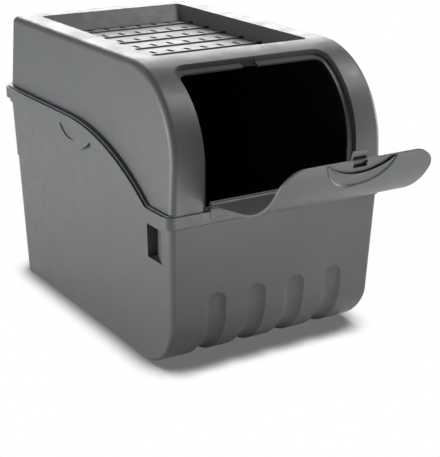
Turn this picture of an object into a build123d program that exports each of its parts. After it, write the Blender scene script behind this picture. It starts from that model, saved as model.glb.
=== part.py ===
from build123d import *
import math
import os

# Potato storage bin: an open tub, a hood that sits on its rim, a hinge rail across the foot of the
# hood's opening, and a curved flap that turns on the rail.
# Millimetres. X is the width, the front faces -Y, Z is up from the face the tub stands on.
# The flap is drawn open, as the bin stands ready for use.

# ---------------------------------------------------------------- tub, driving dimensions
TUB_HALF_WIDTH = 101.8        # half width at the base
TUB_FRONT = 156.5             # front wall's distance from the origin, run down to the base
TUB_REAR = 155.5              # rear wall's distance from the origin at the base
TUB_SIDE_DRAFT = 0.028        # widening per mm of height, each side
TUB_FRONT_DRAFT = 0.058
TUB_REAR_DRAFT = 0.044
TUB_WALL = 2.6
TUB_FRONT_ROUND = 54.0        # the large round between front wall and base
TUB_FRONT_CORNER = 7.0        # plan corners
TUB_REAR_CORNER = 18.0
TUB_BASE_EDGE = 3.0           # small round along the base
CORNER_LEAD = 0.4             # how far the plan corner stands ahead of the front wall's plane

STEP_DEPTH = 1.0              # the lower rear of each side is set in by this much
STEP_TOP = 122.4
STEP_ARC_Y = 18.5             # where the step's level line turns into its arc
STEP_RADIUS = 109.0

POCKET_FACE_Y = -124.0        # finger pockets near the front corners
POCKET_LENGTH = 24.0
POCKET_DEPTH = 9.2
POCKET_FLOOR = 100.0
POCKET_TOP = 129.6
POCKET_WALL = 2.0

FLUTE_COUNT = 4
FLUTE_PITCH = 40.0
FLUTE_WIDTH = 20.5            # lip to lip
FLUTE_DEPTH = 3.6
FLUTE_TOP = 71.0
FLUTE_RUN_UNDER = 12.0        # how far each flute runs on under the base

BEAD_GAP = 1.2                # below the skirt's lower edge
BEAD_HEIGHT = 3.0
BEAD_DEPTH = 1.9

# ---------------------------------------------------------------- hood, driving dimensions
HEIGHT = 260.0                # top of the hood over the table
HOOD_WALL = 2.0
HOOD_HALF_WIDTH = 100.8       # at the top
HOOD_SIDE_DRAFT = 0.045
HOOD_REAR = 159.0             # rear wall at the top
HOOD_REAR_DRAFT = 0.068
HOOD_FRONT = 166.5            # front face below the large curve
HOOD_FRONT_CURVE = 80.0       # radius of the large curve from front to top
HOOD_REAR_CORNER = 13.0
HOOD_EDGE = 6.0               # round along the front and top edges

SKIRT_HALF_WIDTH = 111.0
SKIRT_FRONT = 168.5
SKIRT_REAR = 167.7
SKIRT_WALL = 2.0
SKIRT_HEIGHT = 10.0
SKIRT_FRONT_CORNER = 9.0
SKIRT_REAR_CORNER = 19.0
FLANGE = 2.0                  # the shelf from the skirt in to the hood wall
FLANGE_STEP = 1.3             # the shelf's raised inner part
FLANGE_STEP_INSET = 2.4
RIM_GAP = 0.3                 # between the shelf's underside and the tub's rim

LINE_REAR = 191.5             # height of the skirt's upper edge along the rear
LINE_FRONT = 146.0            # and along the front
LINE_ARC_Y = 15.0             # where the level rear run turns into the falling arc
LINE_RADIUS = 255.0
LINE_FOOT_ROUND = 9.0

TAB_Y = 5.5                   # grip tabs below the skirt
TAB_BOTTOM = 163.5
TAB_RADIUS = 55.0
TAB_WALL = 2.6
GRIP_TOP = 182.4              # the D-shaped grip in each tab
GRIP_HALF_LENGTH = 22.0
GRIP_HEIGHT = 11.0
GRIP_DEPTH = 1.3

# ---------------------------------------------------------------- recessed top
TRAY_HALF_WIDTH = 77.0        # at the rim
TRAY_REAR = 137.9
TRAY_FRONT = 91.9
TRAY_DEPTH = 14.3
TRAY_FLOOR_HALF_WIDTH = 72.9
TRAY_FLOOR_REAR = 125.0
TRAY_FLOOR_FRONT = 85.0
TRAY_CORNER = 5.0

VENT_ROWS = 7
VENT_ROW_PITCH = 31.7
VENT_MIDDLE_Y = 20.0          # the middle row of slots
VENT_COLUMNS = 9
VENT_COLUMN_PITCH = 17.6
VENT_WIDTH = 4.0
VENT_LENGTH = 12.0
LOUVRE_STEP = 1.2             # height of the step in front of each row of slots
LOUVRE_STEP_Y = 8.8           # the step's distance in front of its row
POCKET_END = 76.8             # the louvres' rounded ends reach under the tray's sides
POCKET_END_WIDTH = 24.6
POCKET_END_RISE = 2.3
POCKET_END_Y = 4.7            # centre of a rounded end in front of its row

# ---------------------------------------------------------------- opening, rail and flap
FRAME_HALF_WIDTH = 76.6       # the frame that the flap closes into
FRAME_DEPTH = 5.2
FRAME_WALL = 1.8
FRAME_CORNER = 13.0
FRAME_TOP_ANGLE = 19.5        # the frame's top wall, degrees forward of the curve's crown
LEDGE_SIDE = 5.2              # lip round the inner edge of the frame
LEDGE_TOP = 6.0

RAIL_HALF_LENGTH = 80.0
RAIL_SEAM = 0.25              # gap at each end
RAIL_DEPTH = 12.5             # from the skirt's face to the back of the rail's shelf
RAIL_MIDDLE_HALF = 71.0       # the raised middle that holds the flap
RAIL_MIDDLE_LEAD = 0.8        # how far the raised middle stands ahead of the skirt
RAIL_MIDDLE_FOOT = 4.0        # foot of the raised middle below the shelf
TONGUE_LENGTH = 6.0           # half-lap at each end of the rail, behind the skirt
TONGUE_WALL = 1.0
TONGUE_HEIGHT = 5.5
TONGUE_PLAY = 0.2

HINGE_Y = -169.5
HINGE_Z = 151.5
BEAD_RADIUS = 2.0             # the flap's root bead
BEAD_PLAY = 0.06
CHANNEL_WALL = 1.25
CHANNEL_LIP_REAR = 58.0       # the channel's two lips, degrees from +Y towards +Z
CHANNEL_LIP_FRONT = 197.5

FLAP_HALF_WIDTH = 72.6
FLAP_WALL = 2.0
FLAP_NECK = 1.4               # thickness where the sheet leaves the bead
FLAP_NECK_LENGTH = 5.0
FLAP_LEAN = 9.0               # lean-back of the closed flap's straight part, degrees
FLAP_STRAIGHT = 48.5
FLAP_CURVE = 64.0             # mid-sheet radius of the curved part
FLAP_CURVE_ANGLE = 68.4
FLAP_CORNER = 20.0
FLAP_OPEN_ANGLE = 92.0        # swing from open to closed

SCOOP_HALF_WIDTH = 32.5       # crescent finger recess near the free edge
SCOOP_HEIGHT = 25.0
SCOOP_INNER_HEIGHT = 12.0     # height of the crescent's inner arc
SCOOP_DEPTH = 0.9
SCOOP_RIM = 1.1
SCOOP_RIM_RISE = 0.5
LUG_WIDTH = 13.0              # latch lug behind the free edge
LUG_ROOT = 7.5                # how far the lug's root stands back from the edge
LUG_REACH = 4.5               # and how far its tip stands past it
LUG_DROP = 3.6                # from mid-sheet to the lug's outer face
LUG_THICKNESS = 1.8
LUG_PLAY = 1.0                # free room beside the lug
LUG_NOTCH_DEPTH = 2.6         # foot of the notch below the hood's face

# ---------------------------------------------------------------- working values
FAR = 400.0
LINE_DROP = LINE_REAR - LINE_FRONT
CURVE_Y = -HOOD_FRONT + HOOD_FRONT_CURVE
CURVE_Z = HEIGHT - HOOD_FRONT_CURVE
TRAY_FLOOR = HEIGHT - TRAY_DEPTH
VENT_ROW_Y = [VENT_MIDDLE_Y + (row - (VENT_ROWS - 1) / 2) * VENT_ROW_PITCH for row in range(VENT_ROWS)]
FLAP_PLANE = Plane(origin=(0, HINGE_Y, HINGE_Z), z_dir=(1, 0, 0),
                   x_dir=(0, math.cos(math.radians(FLAP_LEAN - FLAP_OPEN_ANGLE)),
                          -math.sin(math.radians(FLAP_LEAN - FLAP_OPEN_ANGLE))))


# ---------------------------------------------------------------- helpers
def side_prism(face, half_width=FAR):
    """Run a side-view area, drawn as (Y, Z), across the width."""
    return extrude(Plane.YZ * face, amount=half_width, both=True)


def front_prism(face, half_depth=FAR):
    """Run a front-view area, drawn as (X, Z), from front to rear."""
    return extrude(Plane.XZ * face, amount=half_depth, both=True)


def area(*points):
    """A flat area with straight sides."""
    return make_face(Polyline(*points, close=True))


def rounded_plan(half_width, front, rear, front_radius, rear_radius):
    """A rectangle in plan with its own radius at the front and at the rear corners."""
    face = area((-half_width, -front), (half_width, -front), (half_width, rear), (-half_width, rear))
    face = fillet(face.vertices().group_by(Axis.Y)[-1], rear_radius)
    return fillet(face.vertices().group_by(Axis.Y)[0], front_radius)


def sharp_edges(solid, least=8.0):
    """Edges whose two faces meet at an angle, not the seams of rounded surfaces."""
    faces_of = {}
    for face in solid.faces():
        for edge in face.edges():
            faces_of.setdefault(edge, []).append(face)
    found = []
    for edge, faces in faces_of.items():
        if len(faces) == 2:
            middle = edge.position_at(0.5)
            turn = faces[0].normal_at(middle).get_angle(faces[1].normal_at(middle))
            if turn > least:
                found.append(edge)
    return ShapeList(found)


# ---------------------------------------------------------------- tub
def tub_half_width(z):
    return TUB_HALF_WIDTH + TUB_SIDE_DRAFT * z


def tub_front_y(z):
    return -(TUB_FRONT + TUB_FRONT_DRAFT * z)


def tub_rear_y(z):
    return TUB_REAR + TUB_REAR_DRAFT * z


def tub_block(inset, floor, edge_round):
    """The tub's outer form moved inwards by inset, from floor up past the rim."""
    top = LINE_REAR + 10.0
    lead = CORNER_LEAD
    plan_side = area((tub_front_y(floor) + inset - lead, floor), (tub_front_y(top) + inset - lead, top),
                     (tub_rear_y(top) - inset, top), (tub_rear_y(floor) - inset, floor))
    width_low = tub_half_width(floor) - inset
    width_top = tub_half_width(top) - inset
    plan_front = area((-width_low, floor), (width_low, floor), (width_top, top), (-width_top, top))
    block = side_prism(plan_side) & front_prism(plan_front)
    uprights = block.edges().filter_by(lambda e: abs(e.tangent_at(0.5).Z) > 0.9)
    block = fillet(uprights.group_by(Axis.Y)[-1], TUB_REAR_CORNER - inset)
    uprights = block.edges().filter_by(lambda e: abs(e.tangent_at(0.5).Z) > 0.9)
    block = fillet(uprights.group_by(Axis.Y)[0], TUB_FRONT_CORNER - inset)
    front_low = (tub_front_y(floor) + inset, floor)
    profile = area(front_low, (tub_front_y(top) + inset, top), (FAR, top), (FAR, floor))
    foot = profile.vertices().sort_by_distance(front_low)[0]
    profile = fillet(foot, TUB_FRONT_ROUND - inset)
    block = block & side_prism(profile)
    if edge_round > 0:
        edges = sharp_edges(block).filter_by(lambda e: e.position_at(0.5).Z < top - 0.01)
        block = fillet(edges, edge_round)
    return block


def below_line(drop):
    """Side-view area below the skirt's upper edge line, lowered by drop."""
    radius = LINE_RADIUS - drop
    turn = math.degrees(math.acos(1 - LINE_DROP / radius))
    foot_y = LINE_ARC_Y - radius * math.sin(math.radians(turn))
    arc = CenterArc((LINE_ARC_Y, LINE_REAR - LINE_RADIUS), radius, 90, turn)
    rest = Polyline((foot_y, LINE_FRONT - drop), (-FAR, LINE_FRONT - drop), (-FAR, -FAR), (FAR, -FAR),
                    (FAR, LINE_REAR - drop), (LINE_ARC_Y, LINE_REAR - drop))
    face = make_face([arc, *rest.edges()])
    kink = face.vertices().sort_by_distance((foot_y, LINE_FRONT - drop))[0]
    return fillet(kink, LINE_FOOT_ROUND + drop)


def step_area():
    """Side-view area of the set-in lower rear of the tub's sides."""
    centre_z = STEP_TOP - STEP_RADIUS
    arc = CenterArc((STEP_ARC_Y, centre_z), STEP_RADIUS, 90, 90)
    rest = Polyline((STEP_ARC_Y - STEP_RADIUS, centre_z), (STEP_ARC_Y - STEP_RADIUS, -FAR), (FAR, -FAR),
                    (FAR, STEP_TOP), (STEP_ARC_Y, STEP_TOP))
    return make_face([arc, *rest.edges()])


def pocket_wedge(side, grow):
    """One finger pocket: a wedge in plan, deepest at its rear face."""
    outer = side * (tub_half_width(POCKET_TOP) + 5.0)
    inner = side * (tub_half_width(POCKET_FLOOR) - POCKET_DEPTH - grow)
    skin = side * (tub_half_width(POCKET_FLOOR) - grow)
    rear = POCKET_FACE_Y + grow
    front = POCKET_FACE_Y - POCKET_LENGTH - grow
    plan = area((outer, rear), (inner, rear), (skin, front), (outer, front))
    low = POCKET_FLOOR - grow
    return extrude(Plane.XY.offset(low) * plan, amount=POCKET_TOP + grow - low)


def flute_tool(x, grow):
    """One flute: a round-nosed cutter run down the front wall, round the large round and under."""
    half = FLUTE_WIDTH / 2
    cutter = (half ** 2 + FLUTE_DEPTH ** 2) / (2 * FLUTE_DEPTH)
    lift = cutter - FLUTE_DEPTH
    lean = math.atan(TUB_FRONT_DRAFT)
    down = Vector(0, math.sin(lean), -math.cos(lean))
    out = Vector(0, -math.cos(lean), -math.sin(lean))
    round_z = TUB_FRONT_ROUND
    foot_y = tub_front_y(0)
    centre_y = foot_y + TUB_FRONT_ROUND * math.tan((math.pi / 2 - lean) / 2)
    start_z = FLUTE_TOP - half
    start = Vector(x, tub_front_y(start_z), start_z) + out * lift
    centre = Vector(x, centre_y, round_z)
    tangent = centre + out * (TUB_FRONT_ROUND + lift)
    bottom = centre + Vector(0, 0, -(TUB_FRONT_ROUND + lift))
    finish = bottom + Vector(0, FLUTE_RUN_UNDER, 0)
    middle_angle = (lean + math.pi / 2) / 2
    middle = centre + Vector(0, -math.cos(middle_angle), -math.sin(middle_angle)) * (TUB_FRONT_ROUND + lift)
    path = Wire([Edge.make_line(start, tangent), Edge.make_three_point_arc(tangent, middle, bottom),
                 Edge.make_line(bottom, finish)])
    section = Plane(origin=start, z_dir=down) * Circle(cutter + grow)
    run = sweep(section, path=path)
    return run + Pos(*start) * Sphere(cutter + grow) + Pos(*finish) * Sphere(cutter + grow)


def make_bin():
    """The tub, with its bead, side steps, finger pockets and flutes."""
    outer = tub_block(0.0, 0.0, TUB_BASE_EDGE)
    set_in = tub_block(STEP_DEPTH, 0.0, TUB_BASE_EDGE)
    step = side_prism(step_area())
    body = (outer - step) + (set_in & step)
    bead_low = SKIRT_HEIGHT + BEAD_GAP + BEAD_HEIGHT
    bead_band = side_prism(below_line(SKIRT_HEIGHT + BEAD_GAP)) - side_prism(below_line(bead_low))
    tab_room = side_prism(Pos(TAB_Y, TAB_BOTTOM + TAB_RADIUS) * Circle(TAB_RADIUS + BEAD_GAP))
    bead = (tub_block(-BEAD_DEPTH, 0.0, 0.0) & bead_band) - tab_room
    body = body + bead
    hollow = tub_block(TUB_WALL, TUB_WALL, 0.0)
    tub = body - hollow
    for side in (-1, 1):
        tub = tub + (pocket_wedge(side, POCKET_WALL) & outer)
    flute_x = [(i - (FLUTE_COUNT - 1) / 2) * FLUTE_PITCH for i in range(FLUTE_COUNT)]
    for x in flute_x:
        tub = tub + (flute_tool(x, TUB_WALL) & outer)
    for side in (-1, 1):
        tub = tub - pocket_wedge(side, 0.0)
    for x in flute_x:
        tub = tub - flute_tool(x, 0.0)
    return tub & side_prism(below_line(FLANGE + RIM_GAP))


# ---------------------------------------------------------------- hood
def hood_block(inset):
    """The hood's outer form moved inwards by inset, run down past the skirt."""
    low = LINE_FRONT - 20.0
    top = HEIGHT - inset
    radius = HOOD_FRONT_CURVE - inset
    rear_low = HOOD_REAR + HOOD_REAR_DRAFT * (HEIGHT - low) - inset
    arc = CenterArc((CURVE_Y, CURVE_Z), radius, 90, 90)
    rest = Polyline((CURVE_Y - radius, CURVE_Z), (CURVE_Y - radius, low), (rear_low, low),
                    (HOOD_REAR + HOOD_REAR_DRAFT * inset - inset, top), (CURVE_Y, top))
    block = side_prism(make_face([arc, *rest.edges()]))
    width_top = HOOD_HALF_WIDTH + HOOD_SIDE_DRAFT * inset - inset
    width_low = HOOD_HALF_WIDTH + HOOD_SIDE_DRAFT * (HEIGHT - low) - inset
    front_view = area((-width_low, low), (width_low, low), (width_top, top), (-width_top, top))
    block = block & front_prism(front_view)
    uprights = block.edges().filter_by(lambda e: abs(e.tangent_at(0.5).Z) > 0.9)
    block = fillet(uprights.group_by(Axis.Y)[-1], HOOD_REAR_CORNER - inset)
    edges = sharp_edges(block).filter_by(lambda e: e.position_at(0.5).Z > low + 0.01)
    return fillet(edges, HOOD_EDGE - inset)


def skirt_plan(inset):
    return rounded_plan(SKIRT_HALF_WIDTH - inset, SKIRT_FRONT - inset, SKIRT_REAR - inset,
                        SKIRT_FRONT_CORNER - inset, SKIRT_REAR_CORNER - inset)


def skirt_block(inset):
    return extrude(skirt_plan(inset), amount=HEIGHT)


def tray_block(grow, floor, top):
    """The recessed top's hollow, widened by grow, between two heights."""
    sections = []
    for z in (floor, top):
        up = (z - TRAY_FLOOR) / TRAY_DEPTH
        width = TRAY_FLOOR_HALF_WIDTH + (TRAY_HALF_WIDTH - TRAY_FLOOR_HALF_WIDTH) * up + grow
        front = TRAY_FLOOR_FRONT + (TRAY_FRONT - TRAY_FLOOR_FRONT) * up + grow
        rear = TRAY_FLOOR_REAR + (TRAY_REAR - TRAY_FLOOR_REAR) * up + grow
        radius = TRAY_CORNER + grow
        sections.append(Plane.XY.offset(z) * rounded_plan(width, front, rear, radius, radius))
    return loft(sections, ruled=True)


def pocket_end(y, grow, low, high):
    """The long pill, in plan, whose rounded ends reach under the tray's sides beside one row."""
    pill = SlotOverall(2 * (POCKET_END + grow), POCKET_END_WIDTH + 2 * grow)
    return extrude(Plane.XY.offset(low) * Pos(0, y - POCKET_END_Y) * pill, amount=high - low)


def louvre_area():
    """Side-view area over the louvred floor: low ramps that end in a step before each row."""
    top = TRAY_FLOOR + POCKET_END_RISE
    steps = [y - LOUVRE_STEP_Y for y in VENT_ROW_Y]
    points = [(steps[0] - VENT_ROW_PITCH, top), (steps[0] - VENT_ROW_PITCH, TRAY_FLOOR)]
    for y in steps:
        points += [(y, TRAY_FLOOR - LOUVRE_STEP), (y, TRAY_FLOOR)]
    points += [(steps[-1] + VENT_ROW_PITCH, TRAY_FLOOR - LOUVRE_STEP), (steps[-1] + VENT_ROW_PITCH, top)]
    return area(*points)


def vent_slots():
    """The slots through the floor, in even rows and columns."""
    slots = []
    for y in VENT_ROW_Y:
        for column in range(VENT_COLUMNS):
            x = (column - (VENT_COLUMNS - 1) / 2) * VENT_COLUMN_PITCH
            slots.append(Pos(x, y) * Rot(0, 0, 90) * SlotOverall(VENT_LENGTH, VENT_WIDTH))
    return extrude(Plane.XY.offset(TRAY_FLOOR - 10) * Sketch(children=slots), amount=20)


def opening_tool(depth, half_width, corner, extra_angle):
    """A cutter for the front opening: everything in front of a shell depth below the hood's face.

    Its top is a plane square to the curved face, and its two upper corners are rounded.
    """
    top = math.radians(90 + FRAME_TOP_ANGLE + extra_angle)
    radius = HOOD_FRONT_CURVE - depth
    direction = (math.cos(top), math.sin(top))
    inner_end = (CURVE_Y + radius * direction[0], CURVE_Z + radius * direction[1])
    outer_end = (CURVE_Y + FAR * direction[0], CURVE_Z + FAR * direction[1])
    low = LINE_FRONT - 20.0
    arc = CenterArc((CURVE_Y, CURVE_Z), radius, math.degrees(top), 180 - math.degrees(top))
    rest = Polyline((CURVE_Y - radius, CURVE_Z), (CURVE_Y - radius, low), (-FAR, low),
                    (-FAR, outer_end[1]), outer_end, inner_end)
    tool = side_prism(make_face([arc, *rest.edges()]), half_width)
    outwards = Vector(0, *direction)
    straight = tool.edges().filter_by(GeomType.LINE)
    corners = straight.filter_by(lambda e: abs(e.tangent_at(0.5).dot(outwards)) > 0.9999)
    return fillet(corners, corner)


def make_hood():
    """The hood with its skirt, grip tabs, recessed top, ventilation and front opening."""
    outer = hood_block(0.0)
    inner = hood_block(HOOD_WALL)
    under_flange = side_prism(below_line(FLANGE))
    band = side_prism(below_line(0.0)) - side_prism(below_line(SKIRT_HEIGHT))
    shell = (outer - inner) - under_flange

    skirt = (skirt_block(0.0) - skirt_block(SKIRT_WALL)) & band
    flange = ((skirt_block(0.0) & side_prism(below_line(0.0))) - under_flange) - inner
    step_up = (skirt_block(FLANGE_STEP_INSET) & side_prism(below_line(-FLANGE_STEP))) - under_flange - inner
    hood = shell + skirt + flange + step_up

    tab_circle = side_prism(Pos(TAB_Y, TAB_BOTTOM + TAB_RADIUS) * Circle(TAB_RADIUS))
    tab_band = tab_circle & side_prism(below_line(SKIRT_HEIGHT / 2))
    tab_core = extrude(rounded_plan(SKIRT_HALF_WIDTH - TAB_WALL, FAR, FAR, 1, 1), amount=FAR)
    hood = hood + ((skirt_block(0.0) - tab_core) & tab_band)
    grip_radius = (GRIP_HALF_LENGTH ** 2 + GRIP_HEIGHT ** 2) / (2 * GRIP_HEIGHT)
    grip_face = (Pos(TAB_Y + 2.0, GRIP_TOP - GRIP_HEIGHT + grip_radius) * Circle(grip_radius)
                 & area((-FAR, -FAR), (FAR, -FAR), (FAR, GRIP_TOP), (-FAR, GRIP_TOP)))
    grip = side_prism(grip_face) - side_prism(grip_face, SKIRT_HALF_WIDTH - GRIP_DEPTH)
    hood = hood - grip

    floor_low = TRAY_FLOOR - LOUVRE_STEP - HOOD_WALL
    tray = tray_block(HOOD_WALL, floor_low, HEIGHT - 1.0)
    room = tray_block(0.0, TRAY_FLOOR - LOUVRE_STEP, TRAY_FLOOR + 1.0)
    for y in VENT_ROW_Y:
        tray = tray + pocket_end(y, HOOD_WALL, floor_low, TRAY_FLOOR + POCKET_END_RISE + HOOD_WALL)
        room = room + pocket_end(y, 0.0, TRAY_FLOOR - LOUVRE_STEP, TRAY_FLOOR + POCKET_END_RISE)
    hood = hood + (tray & outer)
    hood = hood - tray_block(0.0, TRAY_FLOOR, HEIGHT + 1.0)
    hood = hood - (room & side_prism(louvre_area()))
    hood = hood - vent_slots()

    frame_back = FRAME_DEPTH + FRAME_WALL
    wall_angle = math.degrees(FRAME_WALL / HOOD_FRONT_CURVE)
    frame = opening_tool(-1.0, FRAME_HALF_WIDTH + FRAME_WALL, FRAME_CORNER + FRAME_WALL, -wall_angle)
    frame = frame + opening_tool(frame_back, FRAME_HALF_WIDTH + FRAME_WALL, FRAME_CORNER + FRAME_WALL,
                                 -wall_angle)
    hood = hood + ((frame & outer) - under_flange)
    hood = hood - opening_tool(FRAME_DEPTH, FRAME_HALF_WIDTH, FRAME_CORNER, 0.0)
    ledge_angle = math.degrees(LEDGE_TOP / (HOOD_FRONT_CURVE - FRAME_DEPTH))
    through = opening_tool(frame_back + 10.0, FRAME_HALF_WIDTH - LEDGE_SIDE, FRAME_CORNER - LEDGE_SIDE,
                           ledge_angle)
    hood = hood - through
    rail_room = Box(2 * RAIL_HALF_LENGTH, 40, 60, align=(Align.CENTER, Align.CENTER, Align.MAX))
    hood = hood - Pos(0, -SKIRT_FRONT, LINE_FRONT) * rail_room
    hood = hood - tongues(TONGUE_PLAY)
    top = math.radians(FRAME_TOP_ANGLE)
    notch_plane = Plane(origin=(0, CURVE_Y, CURVE_Z), z_dir=(1, 0, 0),
                        x_dir=(0, math.cos(top), math.sin(top)))
    notch_height = FRAME_DEPTH + FRAME_WALL
    notch_face = Rectangle(2 * LEDGE_TOP + LUG_THICKNESS, notch_height, align=(Align.CENTER, Align.MAX))
    notch_face = Pos(0, HOOD_FRONT_CURVE - LUG_NOTCH_DEPTH) * notch_face
    notch = extrude(notch_plane * notch_face, amount=LUG_WIDTH / 2 + LUG_PLAY, both=True)
    return hood - notch


# ---------------------------------------------------------------- hinge rail
def tongues(play):
    """The half-lap tongues at both ends of the rail, grown by play above, below and outwards."""
    low = LINE_FRONT - FLANGE - TONGUE_PLAY - TONGUE_HEIGHT
    length = 2 * (RAIL_HALF_LENGTH + TONGUE_LENGTH + play)
    tongue = Box(length, TONGUE_WALL, TONGUE_HEIGHT + 2 * play, align=(Align.CENTER, Align.MAX, Align.MIN))
    return Pos(0, -SKIRT_FRONT + SKIRT_WALL, low - play) * tongue


def make_rail():
    """The rail across the foot of the opening, with the channel that holds the flap's bead."""
    front = -SKIRT_FRONT
    low = LINE_FRONT - SKIRT_HEIGHT
    shelf = LINE_FRONT - FLANGE
    section = area((front, low), (front + SKIRT_WALL, low), (front + SKIRT_WALL, shelf),
                   (front + RAIL_DEPTH, shelf), (front + RAIL_DEPTH, LINE_FRONT), (front, LINE_FRONT))
    bar = side_prism(section, RAIL_HALF_LENGTH - RAIL_SEAM)
    channel = BEAD_RADIUS + BEAD_PLAY + CHANNEL_WALL
    lead = front - RAIL_MIDDLE_LEAD
    back = HINGE_Y + channel
    foot = shelf - RAIL_MIDDLE_FOOT
    middle = area((lead, foot + RAIL_MIDDLE_LEAD), (front, foot), (front + SKIRT_WALL, foot), (back, shelf),
                  (back, HINGE_Z), (lead, HINGE_Z))
    middle = middle + Pos(HINGE_Y, HINGE_Z) * Circle(channel)
    bore = Pos(HINGE_Y, HINGE_Z) * Circle(BEAD_RADIUS + BEAD_PLAY)
    lips = [math.radians(angle) for angle in (CHANNEL_LIP_REAR, CHANNEL_LIP_FRONT)]
    reach = 4 * channel
    ends = [(HINGE_Y + reach * math.cos(lip), HINGE_Z + reach * math.sin(lip)) for lip in lips]
    mouth = area((HINGE_Y, HINGE_Z), ends[0], (HINGE_Y - reach, HINGE_Z + reach), ends[1])
    middle = middle - bore - mouth
    rail = bar + tongues(0.0) + side_prism(middle, RAIL_MIDDLE_HALF)
    return rail - side_prism(bore, RAIL_HALF_LENGTH)


# ---------------------------------------------------------------- flap
def flap_band(low, high):
    """Side-view area of the flap's sheet between two offsets from mid-sheet, inwards positive.

    It runs a little past the free edge, and the flap's outline trims it there.
    """
    sweep_angle = -(FLAP_CURVE_ANGLE + 2.0)
    centre = (FLAP_CURVE, FLAP_STRAIGHT)
    far = CenterArc(centre, FLAP_CURVE - low, 180, sweep_angle)
    near = CenterArc(centre, FLAP_CURVE - high, 180, sweep_angle)
    sides = [Line((low, 0), (low, FLAP_STRAIGHT)), Line((high, 0), (high, FLAP_STRAIGHT))]
    ends = [Line((low, 0), (high, 0)), Line(far @ 1, near @ 1)]
    return make_face([far, near, *sides, *ends])


def scoop_disc(height, grow):
    """The disc whose edge makes an arc of this height across the free edge, drawn flat."""
    radius = (SCOOP_HALF_WIDTH ** 2 + height ** 2) / (2 * height)
    return Pos(radius - height, 0) * Circle(radius + grow)


def make_flap():
    """The curved flap, drawn open, with its root bead, finger recess and latch lug."""
    half = FLAP_WALL / 2
    end = math.radians(180 - FLAP_CURVE_ANGLE)
    edge = Vector(FLAP_CURVE + FLAP_CURVE * math.cos(end), FLAP_STRAIGHT + FLAP_CURVE * math.sin(end))
    edge_point = FLAP_PLANE.from_local_coords(edge)
    along = FLAP_PLANE.from_local_coords(edge + Vector(math.sin(end), -math.cos(end))) - edge_point
    inwards = FLAP_PLANE.from_local_coords(edge + Vector(-math.cos(end), -math.sin(end))) - edge_point
    edge_plane = Plane(origin=edge_point, x_dir=along, z_dir=inwards)

    beside_neck = Rectangle(2 * FLAP_WALL, FLAP_NECK_LENGTH) - Rectangle(FLAP_NECK, FLAP_NECK_LENGTH)
    sheet = flap_band(-half, half) - Pos(0, FLAP_NECK_LENGTH / 2) * beside_neck
    flap = extrude(FLAP_PLANE * sheet, amount=FLAP_HALF_WIDTH + 1, both=True)
    outline = Rectangle(FAR, 2 * FLAP_HALF_WIDTH, align=(Align.MAX, Align.CENTER))
    outline = fillet(outline.vertices().group_by(Axis.X)[-1], FLAP_CORNER)
    outline = extrude(edge_plane * outline, amount=FAR, both=True)

    disc = scoop_disc(SCOOP_HEIGHT, 0.0)
    crescent = disc - scoop_disc(SCOOP_INNER_HEIGHT, 0.0)
    crescent = extrude(edge_plane * crescent, amount=SCOOP_HEIGHT, both=True)
    rim = extrude(edge_plane * (scoop_disc(SCOOP_HEIGHT, SCOOP_RIM) - disc), amount=SCOOP_HEIGHT, both=True)
    skin = extrude(FLAP_PLANE * flap_band(-half - SCOOP_RIM_RISE, 0), amount=FLAP_HALF_WIDTH, both=True)
    hollow = FLAP_PLANE * flap_band(-half - 1.0, -half + SCOOP_DEPTH)
    hollow = extrude(hollow, amount=FLAP_HALF_WIDTH, both=True)
    flap = ((flap + (skin & rim)) - (hollow & crescent)) & outline

    lug_far = LUG_DROP + LUG_THICKNESS
    lug_face = area((-LUG_ROOT, 0), (-LUG_THICKNESS, 0), (-LUG_THICKNESS, LUG_DROP),
                    (LUG_REACH, LUG_DROP), (LUG_REACH, lug_far), (-LUG_ROOT, lug_far))
    lug_plane = Plane(origin=edge_point, x_dir=along, z_dir=along.cross(inwards))
    lug = extrude(lug_plane * lug_face, amount=LUG_WIDTH / 2, both=True)
    bead = Pos(0, HINGE_Y, HINGE_Z) * Rot(0, 90, 0) * Cylinder(BEAD_RADIUS, 2 * RAIL_MIDDLE_HALF)
    return flap + lug + bead


if __name__ == "__main__":
    os.makedirs("parts", exist_ok=True)
    export_step(make_bin(), "parts/bin.step")
    export_step(make_hood(), "parts/hood.step")
    export_step(make_rail(), "parts/hinge_rail.step")
    export_step(make_flap(), "parts/flap.step")
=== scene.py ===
"""Dress the potato storage bin: moulded polypropylene shells, vent rims, floor, light and camera."""

import logging
import math
from dataclasses import dataclass, field
from enum import Enum
from typing import Any

import bmesh
import bpy
from mathutils import Matrix, Vector


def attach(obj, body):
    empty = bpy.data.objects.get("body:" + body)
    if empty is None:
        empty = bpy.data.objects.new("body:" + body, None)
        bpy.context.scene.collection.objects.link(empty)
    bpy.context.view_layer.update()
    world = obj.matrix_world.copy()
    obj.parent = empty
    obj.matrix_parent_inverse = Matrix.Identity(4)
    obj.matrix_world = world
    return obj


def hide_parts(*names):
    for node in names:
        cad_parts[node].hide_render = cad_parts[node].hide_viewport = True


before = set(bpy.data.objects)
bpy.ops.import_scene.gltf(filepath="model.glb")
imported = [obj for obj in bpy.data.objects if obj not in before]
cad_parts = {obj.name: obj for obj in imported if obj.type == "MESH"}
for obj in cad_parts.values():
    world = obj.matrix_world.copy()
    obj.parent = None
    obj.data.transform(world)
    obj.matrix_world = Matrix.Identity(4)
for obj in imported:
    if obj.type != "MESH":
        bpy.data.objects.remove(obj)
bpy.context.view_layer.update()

MM = 0.001
log = logging.getLogger("storage_bin")


class Body(Enum):
    """The rigid bodies that pieces ride on."""

    TUB = "tub"
    LID = "lid"
    DOOR = "door"


class Slot(Enum):
    """The record's material slots."""

    TUB = "tub_plastic"
    HOOD = "hood_plastic"
    RAIL = "rail_plastic"
    FLAP = "flap_plastic"


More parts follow.
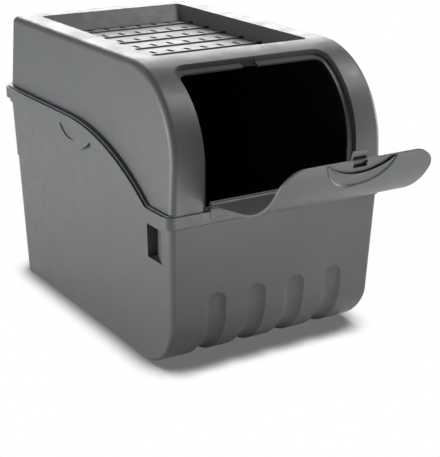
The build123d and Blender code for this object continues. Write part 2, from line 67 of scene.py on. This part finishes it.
def linear(hex_colour: str) -> tuple[float, float, float, float]:
    """Turn an sRGB hex colour into the linear values that shaders take.

    Args:
        hex_colour: A colour written as #RRGGBB.

    Returns:
        Linear red, green, blue and an alpha of 1.
    """
    channels = [int(hex_colour[i:i + 2], 16) / 255 for i in (1, 3, 5)]
    red, green, blue = (c / 12.92 if c <= 0.04045 else ((c + 0.055) / 1.055) ** 2.4 for c in channels)
    return red, green, blue, 1.0


def add_node(tree: bpy.types.NodeTree, kind: str, settings: dict[str, Any] | None = None,
             inputs: dict[Any, Any] | None = None) -> bpy.types.Node:
    """Add one node with its settings, values and links.

    Args:
        tree: The node tree to add to.
        kind: The node's type name.
        settings: Node properties and their values.
        inputs: Input sockets by name or number, each with a value or the output socket to link from.

    Returns:
        The new node.
    """
    node = tree.nodes.new(kind)
    for name, value in (settings or {}).items():
        setattr(node, name, value)
    for socket, value in (inputs or {}).items():
        if isinstance(value, bpy.types.NodeSocket):
            tree.links.new(value, node.inputs[socket])
        else:
            node.inputs[socket].default_value = value
    return node


@dataclass(frozen=True)
class MouldedPolypropylene:
    """Injection-moulded polypropylene, spark-eroded tool finish: a fine dull grain with a faint sheen.

    The grain breaks the highlights up, slow mottling comes from the melt's flow in the tool, and
    handling polishes it in patches. The real grain is about 0.15 mm across: it is drawn coarser
    here, so that it shows at the size of a whole bin.
    """

    name: str
    colour: str = "#47494b"
    flow_colour: str = "#4b4d4f"
    roughness: float = 0.48
    polish: float = 0.12
    grain_mm: float = 0.9
    grain_depth_mm: float = 0.05
    flow_mm: float = 60.0
    scuff_mm: float = 14.0
    scuff_range: tuple[float, float] = (0.3, 0.7)
    bump_strength: float = 0.6
    ior: float = 1.49

    def build(self) -> bpy.types.Material:
        """Make the node material.

        Returns:
            The finished material.
        """
        material = bpy.data.materials.new(self.name)
        material.use_nodes = True
        tree = material.node_tree
        tree.nodes.clear()
        place = add_node(tree, "ShaderNodeTexCoord").outputs["Object"]
        flow = add_node(tree, "ShaderNodeTexNoise", inputs={
            "Vector": place, "Scale": 1 / (self.flow_mm * MM), "Detail": 3.0, "Roughness": 0.55})
        tint = add_node(tree, "ShaderNodeMix", {"data_type": "RGBA"}, {
            "Factor": flow.outputs["Fac"], 6: linear(self.colour), 7: linear(self.flow_colour)})
        scuff = add_node(tree, "ShaderNodeTexNoise", inputs={
            "Vector": place, "Scale": 1 / (self.scuff_mm * MM), "Detail": 5.0, "Roughness": 0.6})
        rough = add_node(tree, "ShaderNodeMapRange", inputs={
            "Value": scuff.outputs["Fac"],
            "From Min": self.scuff_range[0], "From Max": self.scuff_range[1],
            "To Min": self.roughness - self.polish / 2, "To Max": self.roughness + self.polish / 2})
        grain = add_node(tree, "ShaderNodeTexNoise", inputs={
            "Vector": place, "Scale": 1 / (self.grain_mm * MM), "Detail": 2.0, "Roughness": 0.5})
        bump = add_node(tree, "ShaderNodeBump", inputs={
            "Height": grain.outputs["Fac"], "Distance": self.grain_depth_mm * MM,
            "Strength": self.bump_strength})
        shader = add_node(tree, "ShaderNodeBsdfPrincipled", inputs={
            "Base Color": tint.outputs[2], "Roughness": rough.outputs["Result"], "IOR": self.ior,
            "Normal": bump.outputs["Normal"]})
        add_node(tree, "ShaderNodeOutputMaterial", inputs={"Surface": shader.outputs["BSDF"]})
        return material


@dataclass(frozen=True)
class StagePaint:
    """Overexposed white studio paper: it stays white to the eye, and a painted contact shadow darkens it only close
    to the bin.

    Light that bounces off it is that of plain white paper.
    """

    name: str = "white studio paper, matt"
    colour: str = "#e8e8e6"
    # Grey of the painted contact shadow on the floor.
    contact_shadow_colour: str = "#6a6a6b"
    contact_shadow_reach: float = 0.032
    contact_shadow_range: tuple[float, float] = (0.42, 0.9)
    contact_shadow_samples: int = 16

    def build(self) -> bpy.types.Material:
        """Make the node material.

        Returns:
            The finished material.
        """
        material = bpy.data.materials.new(self.name)
        material.use_nodes = True
        tree = material.node_tree
        tree.nodes.clear()
        # Painted contact shadow: an ambient-occlusion mask turns the floor's camera-seen glow grey close to the bin.
        near = add_node(tree, "ShaderNodeAmbientOcclusion", {"samples": self.contact_shadow_samples}, {
            "Distance": self.contact_shadow_reach})
        fade = add_node(tree, "ShaderNodeMapRange", {"interpolation_type": "SMOOTHSTEP"}, {
            "Value": near.outputs["AO"],
            "From Min": self.contact_shadow_range[0], "From Max": self.contact_shadow_range[1]})
        seen = add_node(tree, "ShaderNodeMix", {"data_type": "RGBA"}, {
            "Factor": fade.outputs["Result"], 6: linear(self.contact_shadow_colour), 7: linear("#ffffff")})
        glow = add_node(tree, "ShaderNodeEmission", inputs={"Color": seen.outputs[2], "Strength": 1.0})
        paper = add_node(tree, "ShaderNodeBsdfDiffuse", inputs={"Color": linear(self.colour)})
        ray = add_node(tree, "ShaderNodeLightPath")
        both = add_node(tree, "ShaderNodeMixShader", inputs={
            0: ray.outputs["Is Camera Ray"], 1: paper.outputs[0], 2: glow.outputs[0]})
        add_node(tree, "ShaderNodeOutputMaterial", inputs={"Surface": both.outputs[0]})
        return material


@dataclass
class Moulding:
    """One moulded shell: the CAD form with its tool's small edge radii and its own finish.

    Attributes:
        node: The CAD node that the shell stands for.
        piece: The visible piece's name.
        body: The body that it rides on.
        slot: The material slot meant for it; not used.
        finish: The plastic of its faces.
        edge_highlight_finish: The plastic of its edge radii: lighter than the faces, a painted edge highlight.
        edge_mm: Width of the edge radius.
        edge_segments: Steps round the edge radius.
        edge_angle: Least angle, in degrees, of an edge that gets a radius.
        merge_mm: Distance within which loose corners are one.
        flat_weight: How far large flat faces outweigh the radii in the shading.
    """

    node: str
    piece: str
    body: Body
    slot: Slot
    finish: MouldedPolypropylene
    edge_highlight_finish: MouldedPolypropylene
    edge_mm: float = 0.35
    edge_segments: int = 2
    edge_angle: float = 28.0
    merge_mm: float = 0.002
    flat_weight: int = 80

    def merged_mesh(self) -> bpy.types.Mesh:
        """Join the CAD node's loose triangles into one clean surface.

        Returns:
            A new mesh in the row frame.
        """
        source = bmesh.new()
        source.from_mesh(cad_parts[self.node].data)
        bmesh.ops.remove_doubles(source, verts=source.verts, dist=self.merge_mm * MM)
        bmesh.ops.dissolve_degenerate(source, edges=source.edges, dist=self.merge_mm * MM)
        mesh = bpy.data.meshes.new(self.piece)
        source.to_mesh(mesh)
        source.free()
        return mesh

    def build(self) -> bpy.types.Object:
        """Make the shell, soften its edges, and put it in place of its CAD node.

        Returns:
            The finished piece.
        """
        piece = bpy.data.objects.new(self.piece, self.merged_mesh())
        bpy.context.scene.collection.objects.link(piece)
        piece.data.materials.clear()
        piece.data.materials.append(self.finish.build())
        piece.data.materials.append(self.edge_highlight_finish.build())
        for polygon in piece.data.polygons:
            polygon.material_index = 0
            polygon.use_smooth = True
        bevel = piece.modifiers.new("tool radii", "BEVEL")
        bevel.width = self.edge_mm * MM
        bevel.segments = self.edge_segments
        bevel.limit_method = "ANGLE"
        bevel.angle_limit = math.radians(self.edge_angle)
        bevel.use_clamp_overlap = True
        bevel.miter_outer = "MITER_ARC"
        # The edge radii take the second plastic, painted lighter as an edge highlight.
        bevel.material = 1
        normals = piece.modifiers.new("flat faces stay flat", "WEIGHTED_NORMAL")
        normals.keep_sharp = True
        normals.weight = self.flat_weight
        graph = bpy.context.evaluated_depsgraph_get()
        finished = bpy.data.meshes.new_from_object(piece.evaluated_get(graph))
        piece.modifiers.clear()
        piece.data = finished
        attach(piece, self.body.value)
        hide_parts(self.node)
        log.info("%s: %d faces", self.piece, len(finished.polygons))
        return piece


@dataclass
class FlapMoulding(Moulding):
    """The flap, whose crescent finger recess is dished: deepest in its middle and flush at its inner arc.

    The sizes are the CAD flap's own, in millimetres.

    Attributes:
        hinge: Place of the hinge line, to the back and up.
        lean_deg: How far the closed flap leans.
        swing_deg: How far the flap has swung open at rest.
        straight: Length from the hinge to the start of the curve.
        curve: Radius of the curve at the middle of the wall.
        curve_deg: Angle that the curve turns through.
        wall: Thickness of the flap.
        scoop_half_width: Half the crescent's width.
        scoop_height: Rise of its outer arc.
        scoop_inner_height: Rise of its inner arc.
        scoop_depth: Depth of the flat floor.
        dish_depth: How much deeper the dish goes in its middle.
        dish_edge: Share of the crescent over which the floor falls from the inner arc.
        finest: Longest edge that the floor keeps.
        rounds: Most times that the floor is split.
        near: Distance within which a corner lies on an arc or on the floor.
    """

    hinge: tuple[float, float] = (-169.5, 151.5)
    lean_deg: float = 9.0
    swing_deg: float = 92.0
    straight: float = 48.5
    curve: float = 64.0
    curve_deg: float = 68.4
    wall: float = 2.0
    scoop_half_width: float = 32.5
    scoop_height: float = 25.0
    scoop_inner_height: float = 12.0
    scoop_depth: float = 0.9
    dish_depth: float = 0.75
    dish_edge: float = 0.38
    finest: float = 1.3
    rounds: int = 5
    near: float = 0.06

    def axes(self) -> tuple[Vector, Vector, Vector]:
        """Find the flap's own directions and the centre of its curve.

        Returns:
            The direction out of the flap's face, the direction along its straight part, and the
            centre of the curve in millimetres.
        """
        turn = math.radians(self.lean_deg - self.swing_deg)
        level = Vector((math.cos(turn), -math.sin(turn)))
        run = Vector((-level.y, level.x))
        return level, run, Vector(self.hinge) + level * self.curve + run * self.straight

    def place(self, point: Vector) -> tuple[float, float, float]:
        """Say where a point lies in the crescent.

        Args:
            point: A vertex in metres.

        Returns:
            Distance beyond the inner arc, distance inside the outer arc, and distance from the
            axis of the flap's curve, in millimetres.
        """
        level, run, centre = self.axes()
        end = math.pi - math.radians(self.curve_deg)
        edge = centre + (level * math.cos(end) + run * math.sin(end)) * self.curve
        along = level * math.sin(end) - run * math.cos(end)
        spot = Vector((point.y, point.z)) / MM
        lengthwise = (spot - edge).dot(along)
        sideways = point.x / MM
        gaps = []
        for height in (self.scoop_inner_height, self.scoop_height):
            radius = (self.scoop_half_width ** 2 + height ** 2) / (2 * height)
            gaps.append(math.hypot(lengthwise - (radius - height), sideways) - radius)
        return gaps[0], -gaps[1], (spot - centre).length

    def dish(self, beyond: float, inside: float) -> float:
        """Depth of the dished recess.

        Args:
            beyond: Distance beyond the inner arc.
            inside: Distance inside the outer arc.

        Returns:
            Depth below the flap's face, in millimetres.
        """
        width = max(beyond + inside, 0.001)
        part = min(max(beyond / width, 0.0), 1.0)
        rise = min(part / self.dish_edge, 1.0)
        full_width = self.scoop_height - self.scoop_inner_height
        flush = self.scoop_depth * rise * rise * (3 - 2 * rise)
        return flush + self.dish_depth * math.sin(math.pi * part) * min(width / full_width, 1.0)

    def merged_mesh(self) -> bpy.types.Mesh:
        """Join the CAD node's triangles and dish the recess's floor.

        Returns:
            A new mesh in the row frame.
        """
        mesh = super().merged_mesh()
        form = bmesh.new()
        form.from_mesh(mesh)
        face_radius = self.curve + self.wall / 2
        floor_radius = face_radius - self.scoop_depth
        places = {vert: self.place(vert.co) for vert in form.verts}

        def on_floor(vert: bmesh.types.BMVert) -> bool:
            beyond, inside, radius = places[vert]
            return beyond > -self.near and inside > -self.near and abs(radius - floor_radius) < self.near

        def on_inner_arc(vert: bmesh.types.BMVert) -> bool:
            beyond, inside, radius = places[vert]
            return abs(beyond) < self.near and inside > -self.near and radius > floor_radius - self.near

        walls = [f for f in form.faces if all(on_inner_arc(v) for v in f.verts)]
        bmesh.ops.delete(form, geom=walls, context="FACES_ONLY")
        floor = [f for f in form.faces if all(on_floor(v) for v in f.verts)]
        for _ in range(self.rounds):
            edges = {e for f in floor for e in f.edges if e.calc_length() > self.finest * MM
                     and not all(on_inner_arc(v) for v in e.verts)}
            bmesh.ops.subdivide_edges(form, edges=list(edges), cuts=1)
            for vert in form.verts:
                if vert not in places:
                    beyond, inside, _ = self.place(vert.co)
                    places[vert] = (beyond, inside, floor_radius)
            floor = [f for f in form.faces if all(on_floor(v) for v in f.verts)]
            bmesh.ops.triangulate(form, faces=[f for f in floor if len(f.verts) > 3])
            floor = [f for f in form.faces if all(on_floor(v) for v in f.verts)]
        for vert in {v for f in floor for v in f.verts}:
            beyond, inside, _ = places[vert]
            self.set_radius(vert, face_radius - self.dish(beyond, inside))
        bmesh.ops.remove_doubles(form, verts=form.verts, dist=self.near * MM)
        log.info("flap recess: %d faces", len(floor))
        form.to_mesh(mesh)
        form.free()
        return mesh

    def set_radius(self, vert: bmesh.types.BMVert, radius: float) -> None:
        """Move a vertex square to the flap's curve.

        Args:
            vert: The vertex to move.
            radius: Its new distance from the axis of the curve, in millimetres.
        """
        centre = self.axes()[2] * MM
        spoke = Vector((vert.co.y, vert.co.z)) - centre
        spot = centre + spoke.normalized() * radius * MM
        vert.co.y, vert.co.z = spot


@dataclass
class VentRims:
    """The fine raised rims round the slots of the vented top, one to each slot."""

    columns: int = 9
    rows: int = 7
    column_pitch: float = 17.6 * MM
    row_pitch: float = 31.7 * MM
    middle_y: float = 20.0 * MM
    slot_width: float = 4.0 * MM
    slot_length: float = 12.0 * MM
    corner_share: float = 0.49
    corner_points: int = 3
    rim_radius: float = 0.16 * MM
    rim_sides: int = 6
    floor_height: float = 245.37 * MM
    ramp_slope: float = math.radians(-2.17)

    def tree(self, material: bpy.types.Material) -> bpy.types.NodeTree:
        """Make the Geometry Nodes tree that lays the rims out.

        Args:
            material: The plastic of the rims.

        Returns:
            The node tree, its sizes named inputs.
        """
        tree = bpy.data.node_groups.new("vent rims", "GeometryNodeTree")
        tree.interface.new_socket("Geometry", in_out="OUTPUT", socket_type="NodeSocketGeometry")
        for name, kind, value in self.sizes():
            socket = tree.interface.new_socket(name, in_out="INPUT", socket_type=kind)
            socket.default_value = value
        given = add_node(tree, "NodeGroupInput").outputs
        outline = add_node(tree, "GeometryNodeCurvePrimitiveQuadrilateral", inputs={
            "Width": given["Slot Width"], "Height": given["Slot Length"]})
        corner = add_node(tree, "ShaderNodeMath", {"operation": "MULTIPLY"}, {
            0: given["Slot Width"], 1: self.corner_share})
        rounded = add_node(tree, "GeometryNodeFilletCurve", {"mode": "POLY"}, {
            "Curve": outline.outputs[0], "Radius": corner.outputs[0], "Count": self.corner_points})
        profile = add_node(tree, "GeometryNodeCurvePrimitiveCircle", inputs={
            "Resolution": self.rim_sides, "Radius": given["Rim Radius"]})
        rim = add_node(tree, "GeometryNodeCurveToMesh", inputs={
            "Curve": rounded.outputs[0], "Profile Curve": profile.outputs[0]})
        width = self.span(tree, given["Columns"], given["Column Pitch"])
        length = self.span(tree, given["Rows"], given["Row Pitch"])
        grid = add_node(tree, "GeometryNodeMeshGrid", inputs={
            "Size X": width, "Size Y": length, "Vertices X": given["Columns"], "Vertices Y": given["Rows"]})
        tilt = add_node(tree, "ShaderNodeCombineXYZ", inputs={"X": given["Ramp Slope"]})
        copies = add_node(tree, "GeometryNodeInstanceOnPoints", inputs={
            "Points": grid.outputs["Mesh"], "Instance": rim.outputs[0], "Rotation": tilt.outputs[0]})
        centre = add_node(tree, "ShaderNodeCombineXYZ", inputs={
            "Y": given["Middle Y"], "Z": given["Floor Height"]})
        placed = add_node(tree, "GeometryNodeTransform", inputs={
            "Geometry": copies.outputs[0], "Translation": centre.outputs[0]})
        real = add_node(tree, "GeometryNodeRealizeInstances", inputs={"Geometry": placed.outputs[0]})
        smooth = add_node(tree, "GeometryNodeSetShadeSmooth", inputs={"Geometry": real.outputs[0]})
        dressed = add_node(tree, "GeometryNodeSetMaterial", inputs={
            "Geometry": smooth.outputs[0], "Material": material})
        add_node(tree, "NodeGroupOutput", inputs={0: dressed.outputs[0]})
        return tree

    def span(self, tree: bpy.types.NodeTree, count: bpy.types.NodeSocket,
             pitch: bpy.types.NodeSocket) -> bpy.types.NodeSocket:
        """Work out the length of a row from its count and pitch.

        Args:
            tree: The tree to add to.
            count: How many stand in the row.
            pitch: The distance from one to the next.

        Returns:
            The socket that gives (count - 1) x pitch.
        """
        gaps = add_node(tree, "ShaderNodeMath", {"operation": "SUBTRACT"}, {0: count, 1: 1.0})
        return add_node(tree, "ShaderNodeMath", {"operation": "MULTIPLY"}, {0: gaps.outputs[0], 1: pitch}).outputs[0]

    def sizes(self) -> list[tuple[str, str, float]]:
        """List the tree's named inputs.

        Returns:
            Each input's name, its socket type and its value.
        """
        return [
            ("Columns", "NodeSocketInt", self.columns),
            ("Rows", "NodeSocketInt", self.rows),
            ("Column Pitch", "NodeSocketFloat", self.column_pitch),
            ("Row Pitch", "NodeSocketFloat", self.row_pitch),
            ("Middle Y", "NodeSocketFloat", self.middle_y),
            ("Slot Width", "NodeSocketFloat", self.slot_width),
            ("Slot Length", "NodeSocketFloat", self.slot_length),
            ("Rim Radius", "NodeSocketFloat", self.rim_radius),
            ("Floor Height", "NodeSocketFloat", self.floor_height),
            ("Ramp Slope", "NodeSocketFloat", self.ramp_slope),
        ]

    def build(self, finish: MouldedPolypropylene) -> bpy.types.Object:
        """Make the rims as one plain mesh that rides with the lid.

        Args:
            finish: The plastic of the rims.

        Returns:
            The finished piece.
        """
        piece = bpy.data.objects.new("vent_rims", bpy.data.meshes.new("vent_rims"))
        bpy.context.scene.collection.objects.link(piece)
        modifier = piece.modifiers.new("vent rims", "NODES")
        modifier.node_group = self.tree(finish.build())
        named = {item.name: item.identifier for item in modifier.node_group.interface.items_tree}
        for name, _, value in self.sizes():
            modifier[named[name]] = value
        graph = bpy.context.evaluated_depsgraph_get()
        finished = bpy.data.meshes.new_from_object(piece.evaluated_get(graph))
        piece.modifiers.clear()
        piece.data = finished
        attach(piece, Body.LID.value)
        log.info("vent_rims: %d faces", len(finished.polygons))
        return piece


@dataclass(frozen=True)
class SoftBox:
    """A square studio lamp aimed at the bin."""

    name: str
    position: tuple[float, float, float]
    target: tuple[float, float, float]
    size: float
    watts: float

    def build(self) -> bpy.types.Object:
        """Hang the lamp.

        Returns:
            The light object.
        """
        lamp = bpy.data.lights.new(self.name, "AREA")
        lamp.shape = "SQUARE"
        lamp.size = self.size
        lamp.energy = self.watts
        light = bpy.data.objects.new(self.name, lamp)
        light.location = self.position
        light.visible_camera = False
        aim = Vector(self.target) - Vector(self.position)
        light.rotation_euler = aim.to_track_quat("-Z", "Y").to_euler()
        bpy.context.scene.collection.objects.link(light)
        return light


@dataclass
class Studio:
    """The plain floor, soft light and camera."""

    floor_half: float = 4.0
    camera_position: tuple[float, float, float] = (-0.55989, -0.96904, 0.46055)
    heading_deg: float = 31.888
    dip_deg: float = 19.312
    roll_deg: float = -0.145
    focal_pixels: float = 1228.27
    frame_height: int = 457
    sensor_mm: float = 36.0
    near_clip: float = 0.05
    ambient: float = 0.03
    lamps: list[SoftBox] = field(default_factory=lambda: [
        SoftBox("rear card", (0.9, 1.6, 0.9), (0.0, 0.0, 0.2), 1.4, 42.0),
        SoftBox("left fill", (-1.5, 0.2, 0.25), (0.0, 0.0, 0.1), 0.9, 31.0),
        SoftBox("left bounce", (-0.55, 0.12, 0.01), (-0.15, 0.1, 0.3), 0.4, 2.4),
        SoftBox("front bounce", (0.05, -0.55, 0.01), (0.0, -0.3, 0.4), 0.35, 3.4),
        SoftBox("right fill", (1.2, -0.3, 0.15), (0.0, 0.0, 0.1), 0.6, 12.0),
        SoftBox("highlight card", (0.8, -0.5, 1.4), (0.0, -0.1, 0.22), 0.6, 16.0),
    ])

    def build(self) -> None:
        """Set the stage up."""
        mesh = bpy.data.meshes.new("floor")
        half = self.floor_half
        mesh.from_pydata([(-half, -half, 0), (half, -half, 0), (half, half, 0), (-half, half, 0)], [], [(0, 1, 2, 3)])
        floor = bpy.data.objects.new("floor", mesh)
        mesh.materials.append(StagePaint().build())
        bpy.context.scene.collection.objects.link(floor)
        for lamp in self.lamps:
            lamp.build()
        world = bpy.data.worlds.new("studio air")
        world.use_nodes = True
        sky = world.node_tree.nodes["Background"]
        sky.inputs["Color"].default_value = linear("#ffffff")
        sky.inputs["Strength"].default_value = self.ambient
        bpy.context.scene.world = world
        bpy.context.scene.view_settings.view_transform = "Standard"
        self.camera()

    def camera(self) -> None:
        """Place the camera and make it the scene's own."""
        heading, dip, roll = (math.radians(a) for a in (self.heading_deg, self.dip_deg, self.roll_deg))
        forward = Vector((math.sin(heading) * math.cos(dip), math.cos(heading) * math.cos(dip), -math.sin(dip)))
        level = Vector((math.cos(heading), -math.sin(heading), 0.0))
        down = forward.cross(level)
        right = level * math.cos(roll) + down * math.sin(roll)
        up = level * math.sin(roll) - down * math.cos(roll)
        lens = bpy.data.cameras.new("camera")
        lens.sensor_width = self.sensor_mm
        lens.lens = self.sensor_mm * self.focal_pixels / self.frame_height
        lens.clip_start = self.near_clip
        camera = bpy.data.objects.new("camera", lens)
        turn = Matrix((right, up, -forward)).transposed().to_4x4()
        camera.matrix_world = Matrix.Translation(self.camera_position) @ turn
        bpy.context.scene.collection.objects.link(camera)
        bpy.context.scene.camera = camera


@dataclass
class StorageBin:
    """The whole bin: four mouldings and the rims of the vents."""

    # Dull moulded faces: broad soft highlights with no clear reflection in them.
    tub: MouldedPolypropylene = MouldedPolypropylene("tub polypropylene, moulded")
    hood: MouldedPolypropylene = MouldedPolypropylene("hood polypropylene, moulded")
    # A smoother tool: the rail and the flap catch a slightly tighter highlight.
    rail: MouldedPolypropylene = MouldedPolypropylene("rail polypropylene, moulded", roughness=0.46)
    flap: MouldedPolypropylene = MouldedPolypropylene("flap polypropylene, moulded", roughness=0.42)
    # Edges: lighter than the faces, a painted highlight, and shinier, so each edge reads as a fine bright line.
    edge: MouldedPolypropylene = MouldedPolypropylene(
        "polypropylene edge, painted highlight", colour="#66686a", flow_colour="#6e7072", roughness=0.36)

    def build(self) -> None:
        """Build every piece in order."""
        for node, body, slot, finish in (
                ("bin", Body.TUB, Slot.TUB, self.tub),
                ("hood", Body.LID, Slot.HOOD, self.hood),
                ("hinge_rail", Body.LID, Slot.RAIL, self.rail),
                ("flap", Body.DOOR, Slot.FLAP, self.flap)):
            kind = FlapMoulding if slot is Slot.FLAP else Moulding
            kind(node, node + "_shell", body, slot, finish, self.edge).build()
        VentRims().build(self.hood)


def main() -> None:
    """Build the bin and its stage."""
    logging.basicConfig(level=logging.INFO, format="%(name)s %(message)s")
    StorageBin().build()
    Studio().build()


if __name__ == "__main__":
    main()
